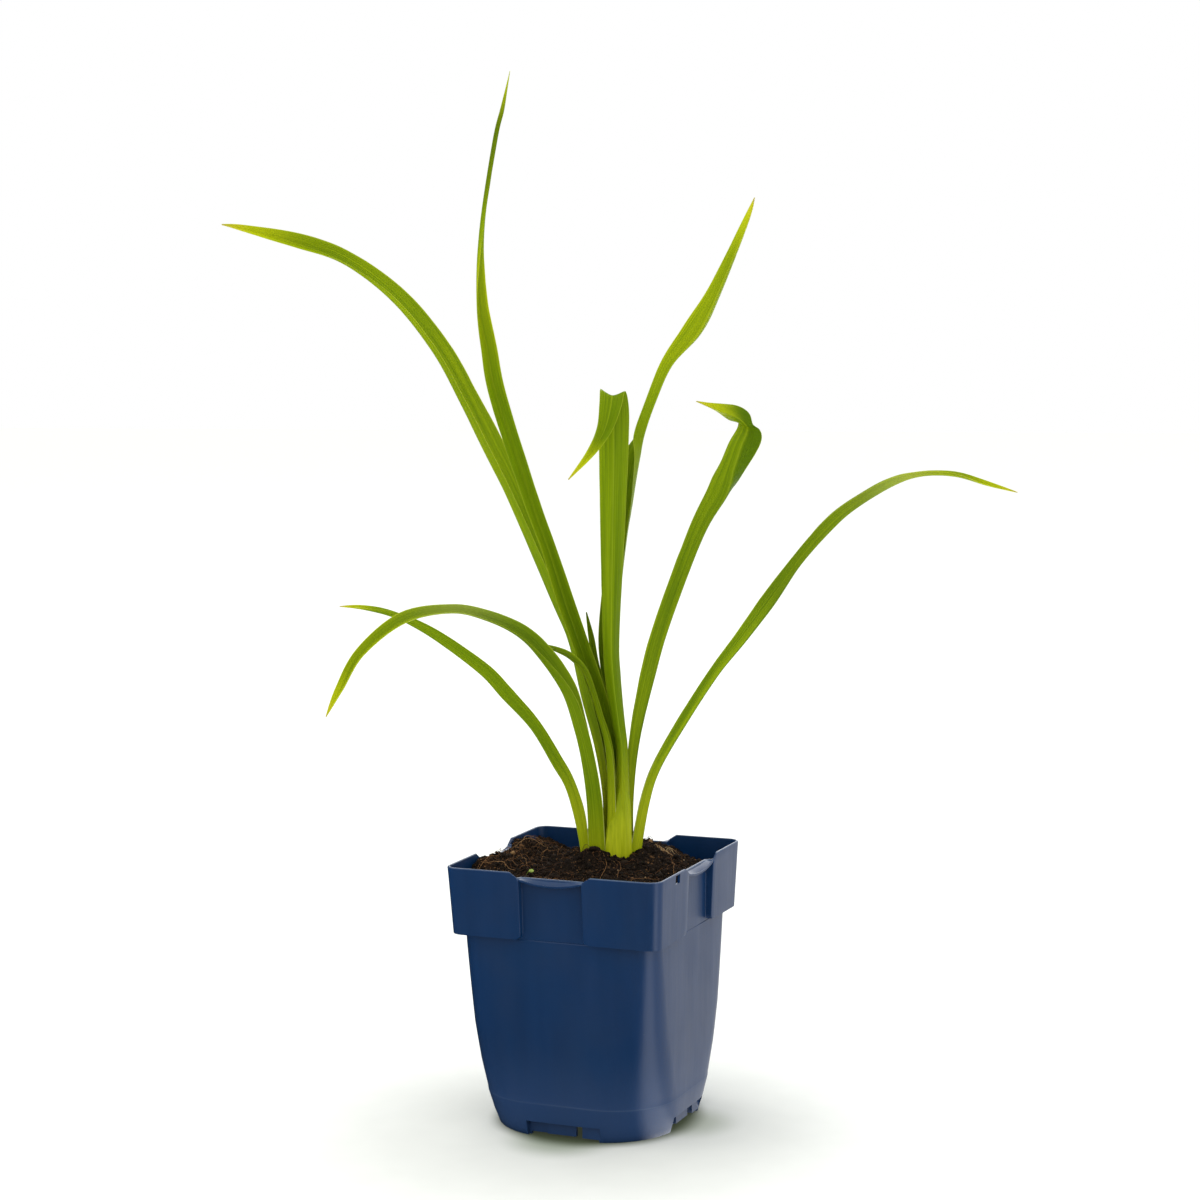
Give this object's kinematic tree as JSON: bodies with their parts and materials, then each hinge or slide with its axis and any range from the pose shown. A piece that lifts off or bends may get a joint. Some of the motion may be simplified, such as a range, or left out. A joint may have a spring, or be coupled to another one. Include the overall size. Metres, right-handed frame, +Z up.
{
  "type": "potted daylily",
  "caption": "Young daylily plant: a fan of narrow arching strap leaves rising from a crown in peat, in a square collared plastic nursery pot.",
  "frame": {"origin": "middle of the base of the whole plant and pot, on the floor under the pot; the pot stands centred on it to within 1 mm", "axes": "+Z up, the way the plant grows; +X to the right along the pot's front face; +Y from the front face towards the back, so the front face looks along -Y"},
  "size_m": [0.3029, 0.1499, 0.4096],
  "materials": {
    "pot_plastic": "satin",
    "peat": "matte",
    "crown": "satin",
    "leaf": "satin",
    "seedling": "satin"
  },
  "bodies": {
    "root": {"pot": "pot_plastic", "soil": "peat", "crown": "crown", "leaf_left_high": "leaf", "leaf_tallest": "leaf", "leaf_right_high": "leaf", "leaf_folded": "leaf", "leaf_hooked": "leaf", "leaf_right_arch": "leaf", "leaf_left_arch": "leaf", "leaf_left_low": "leaf", "leaf_young_front": "leaf", "leaf_young_back": "leaf", "seedling": "seedling"}
  },
  "joints": []
}
